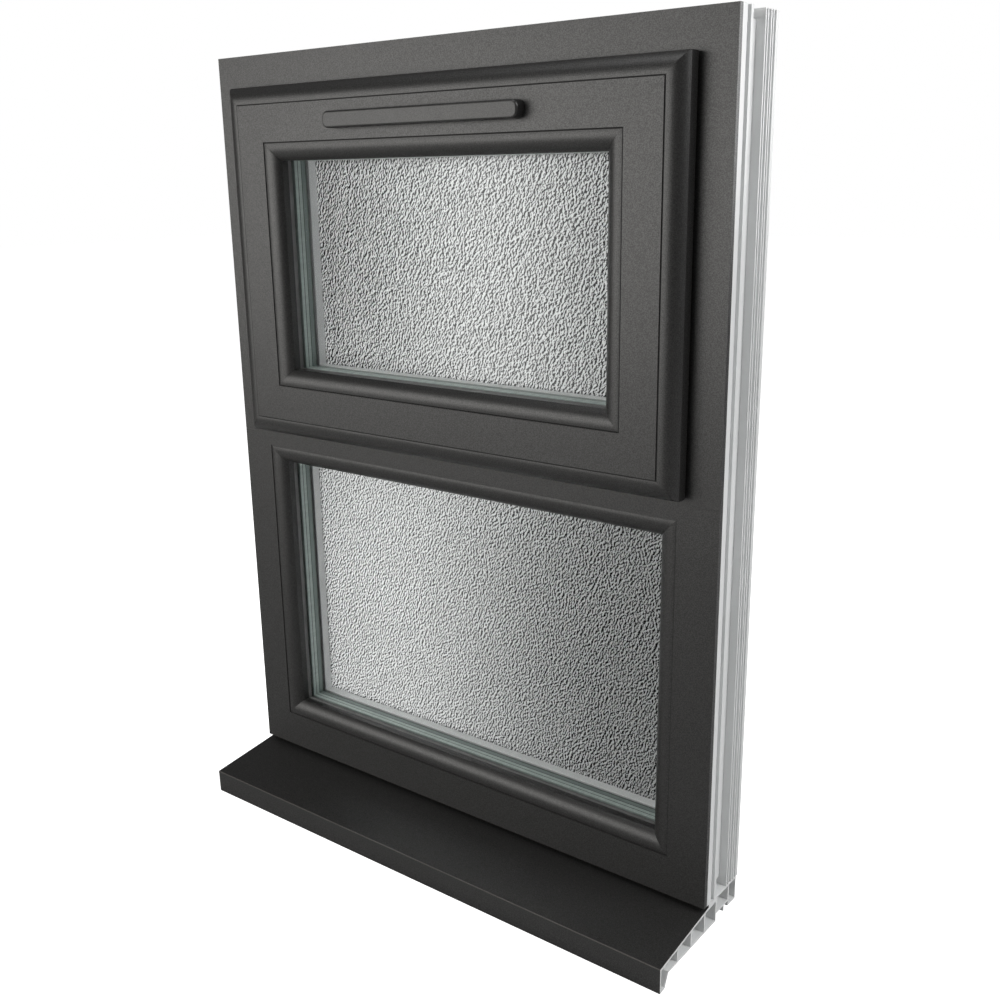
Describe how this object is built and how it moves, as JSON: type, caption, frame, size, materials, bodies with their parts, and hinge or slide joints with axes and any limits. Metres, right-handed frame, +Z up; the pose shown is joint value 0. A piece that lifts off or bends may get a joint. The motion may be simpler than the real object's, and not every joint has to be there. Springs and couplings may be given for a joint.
{
  "type": "top-hung window",
  "caption": "Grey-faced plastic window with a cill, a fixed obscure-glass light below and a top-hung opening vent above on friction stays, with a slot ventilator and locking handle.",
  "frame": {"origin": "on the flat underside of the cill, half way along it, in the plane of the frame's outer face", "axes": "+X along the window to the right seen from outside, +Y from outside into the room, +Z up"},
  "size_m": [0.61, 0.155, 0.8396],
  "materials": {
    "foiled_profile": "dark grey fine-grained foil outside, white inside",
    "white_profile": "smooth white",
    "vent_hood": "smooth grey",
    "clear_glass": "clear float",
    "obscure_glass": "fine stippled obscure",
    "outer_spacer": "grey-green",
    "inner_spacer": "white",
    "black_seal": "black",
    "setting_block": "moulded",
    "stay_steel": "ferritic stainless strip",
    "lock_steel": "plated",
    "handle_paint": "white",
    "button_chrome": "polished",
    "vent_inner": "smooth white"
  },
  "bodies": {
    "frame": {"frame_head": "foiled_profile", "frame_jamb_left": "foiled_profile", "frame_jamb_right": "foiled_profile", "frame_bottom_rail": "foiled_profile", "transom": "foiled_profile", "cill": "foiled_profile", "lower_outer_pane": "clear_glass", "lower_middle_pane": "clear_glass", "lower_obscure_pane": "obscure_glass", "lower_outer_spacer": "outer_spacer", "lower_inner_spacer": "inner_spacer", "lower_glazing_gasket": "black_seal", "lower_bead_top": "white_profile", "lower_bead_bottom": "white_profile", "lower_bead_left": "white_profile", "lower_bead_right": "white_profile", "lower_setting_block_left": "setting_block", "lower_setting_block_right": "setting_block", "sash_stop_top": "white_profile", "sash_stop_bottom": "white_profile", "sash_stop_left": "white_profile", "sash_stop_right": "white_profile", "stop_seal": "black_seal", "stay_track_left": "stay_steel", "stay_track_right": "stay_steel", "lock_keep_left": "lock_steel", "lock_keep_right": "lock_steel"},
    "short_arm_left": {"stay_short_arm_left": "stay_steel"},
    "short_arm_right": {"stay_short_arm_right": "stay_steel"},
    "sash": {"sash_top_rail": "foiled_profile", "sash_bottom_rail": "foiled_profile", "sash_stile_left": "foiled_profile", "sash_stile_right": "foiled_profile", "upper_outer_pane": "clear_glass", "upper_middle_pane": "clear_glass", "upper_obscure_pane": "obscure_glass", "upper_outer_spacer": "outer_spacer", "upper_inner_spacer": "inner_spacer", "upper_glazing_gasket": "black_seal", "upper_bead_top": "white_profile", "upper_bead_bottom": "white_profile", "upper_bead_left": "white_profile", "upper_bead_right": "white_profile", "sash_weather_seal": "black_seal", "vent_hood": "vent_hood", "vent_inner_body": "vent_inner", "stay_sash_bar_left": "stay_steel", "stay_sash_bar_right": "stay_steel", "handle_base": "handle_paint", "lock_gearbox": "lock_steel"},
    "long_arm_left": {"stay_long_arm_left": "stay_steel"},
    "long_arm_right": {"stay_long_arm_right": "stay_steel"},
    "shoe_left": {"stay_shoe_left": "stay_steel"},
    "shoe_right": {"stay_shoe_right": "stay_steel"},
    "lever": {"handle_lever": "handle_paint"},
    "button": {"handle_button": "button_chrome"},
    "lock_bar": {"lock_bar": "lock_steel"},
    "vent_slider": {"vent_slider": "vent_inner"}
  },
  "joints": [
    {"name": "stay_open", "type": "hinge", "parent": "frame", "child": "short_arm_left", "pos_m": [-0.2405, 0.025, 0.6675], "axis": [1, 0, 0], "range_deg": [0, 45]},
    {"name": "sash_swing", "type": "hinge", "parent": "short_arm_left", "child": "sash", "pos_m": [-0.2405, 0.025, 0.7375], "axis": [1, 0, 0], "range_deg": [-90, 0]},
    {"name": "long_arm_left_turn", "type": "hinge", "parent": "sash", "child": "long_arm_left", "pos_m": [-0.2405, 0.025, 0.6515], "axis": [1, 0, 0], "range_deg": [0, 90]},
    {"name": "shoe_left_turn", "type": "hinge", "parent": "long_arm_left", "child": "shoe_left", "pos_m": [-0.2405, 0.025, 0.4955], "axis": [1, 0, 0], "range_deg": [-45, 0]},
    {"name": "short_arm_right_turn", "type": "hinge", "parent": "frame", "child": "short_arm_right", "pos_m": [0.2405, 0.025, 0.6675], "axis": [1, 0, 0], "range_deg": [0, 45]},
    {"name": "long_arm_right_turn", "type": "hinge", "parent": "sash", "child": "long_arm_right", "pos_m": [0.2405, 0.025, 0.6515], "axis": [1, 0, 0], "range_deg": [0, 90]},
    {"name": "shoe_right_turn", "type": "hinge", "parent": "long_arm_right", "child": "shoe_right", "pos_m": [0.2405, 0.025, 0.4955], "axis": [1, 0, 0], "range_deg": [-45, 0]},
    {"name": "handle_turn", "type": "hinge", "parent": "sash", "child": "lever", "pos_m": [0, 0.052, 0.479], "axis": [0, 1, 0], "range_deg": [-90, 0]},
    {"name": "lock_slide", "type": "slide", "parent": "sash", "child": "lock_bar", "axis": [1, 0, 0], "range_m": [-0.0189, 0]},
    {"name": "button_press", "type": "slide", "parent": "lever", "child": "button", "axis": [0, -1, 0], "range_m": [0, 0.002], "stiffness_N_per_m": 600, "springref_m": -0.001},
    {"name": "vent_slide", "type": "slide", "parent": "sash", "child": "vent_slider", "axis": [1, 0, 0], "range_m": [0, 0.008]}
  ],
  "couplings": [
    {"joint": "sash_swing", "follows": "stay_open", "ratio": -2},
    {"joint": "long_arm_left_turn", "follows": "stay_open", "ratio": 2},
    {"joint": "shoe_left_turn", "follows": "stay_open", "ratio": -1},
    {"joint": "short_arm_right_turn", "follows": "stay_open", "ratio": 1},
    {"joint": "long_arm_right_turn", "follows": "stay_open", "ratio": 2},
    {"joint": "shoe_right_turn", "follows": "stay_open", "ratio": -1},
    {"joint": "lock_slide", "follows": "handle_turn", "m_per_rad": 0.012}
  ]
}
